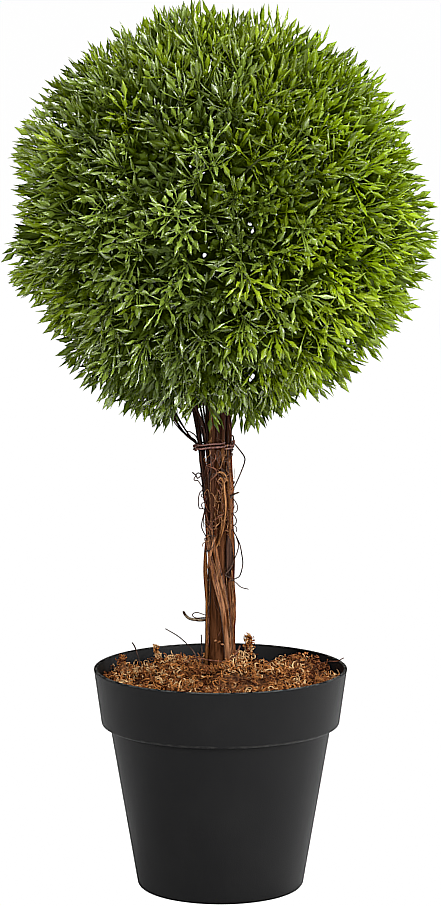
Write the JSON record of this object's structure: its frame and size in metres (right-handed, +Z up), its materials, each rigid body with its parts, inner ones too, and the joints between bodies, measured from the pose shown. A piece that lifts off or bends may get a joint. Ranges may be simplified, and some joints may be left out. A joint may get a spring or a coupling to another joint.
{
  "type": "artificial topiary tree",
  "caption": "Artificial topiary: a ball of narrow pointed leaves on a trunk of bundled vine stems, set in dried moss in a tapered plastic nursery pot.",
  "frame": {"origin": "centre of the pot's flat underside", "axes": "+Z up along the trunk, -Y towards the picture's camera, +X to its right"},
  "size_m": [0.2923, 0.2899, 0.6088],
  "materials": {
    "pot_plastic": "matt charcoal black with a soft sheen",
    "filler": "dull set plaster",
    "moss": "dry curled fibres",
    "bark": "dark dried vine bark",
    "pale_bark": "stripped orange-brown vine",
    "tendril": "dried tendril",
    "wire": "brown coated wire",
    "leaf": "satin moulded leaf"
  },
  "bodies": {
    "root": {"pot": "pot_plastic", "pot_filler": "filler", "moss": "moss", "trunk": "bark", "stem_right": "bark", "stem_back_right": "bark", "stem_back_left": "bark", "stem_rear_thin": "bark", "stem_left": "bark", "vine_left": "pale_bark", "vine_right": "pale_bark", "vine_pale": "pale_bark", "bough_low": "bark", "bough_low_thin": "bark", "bough_front": "bark", "bough_rear": "bark", "wire_tie": "wire", "tendril_top_right": "tendril", "tendril_left": "tendril", "tendril_curl_left": "tendril", "tendril_right": "tendril", "stub_left": "tendril", "foliage_ball": "leaf"}
  },
  "joints": []
}
